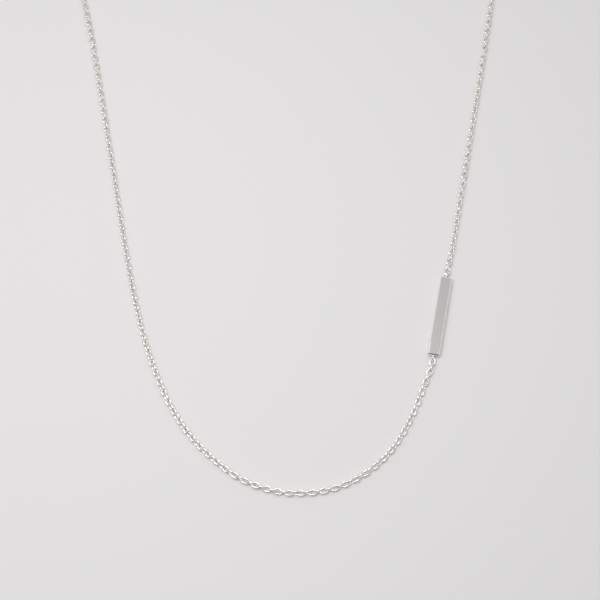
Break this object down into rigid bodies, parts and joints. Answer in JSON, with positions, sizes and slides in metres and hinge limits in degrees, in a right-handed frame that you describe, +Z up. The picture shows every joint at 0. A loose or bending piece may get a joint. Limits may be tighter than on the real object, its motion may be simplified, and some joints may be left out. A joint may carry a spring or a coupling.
{
  "type": "bar pendant necklace",
  "caption": "Slim flat-faced silver bar let into one side of a fine cable chain, laid out flat as a closed loop with a plain barrel clasp.",
  "frame": {"origin": "on the surface that the necklace lies on, under the middle of the loop's box", "axes": "+Z up from the surface, +Y from the bottom of the loop to the clasp, +X to the side that holds the bar"},
  "size_m": [0.1049, 0.1745, 0.0026],
  "materials": {
    "bar_silver": "polished sterling silver, with a soft even sheen on the flat face",
    "chain_silver": "bright polished sterling silver wire",
    "clasp_silver": "polished sterling silver"
  },
  "bodies": {
    "root": {"bar": "bar_silver", "chain_short": "chain_silver", "chain_long": "chain_silver", "clasp": "clasp_silver", "link_bar_top": "chain_silver", "link_bar_bottom": "chain_silver", "link_clasp_right": "chain_silver", "link_clasp_left": "chain_silver"}
  },
  "joints": []
}
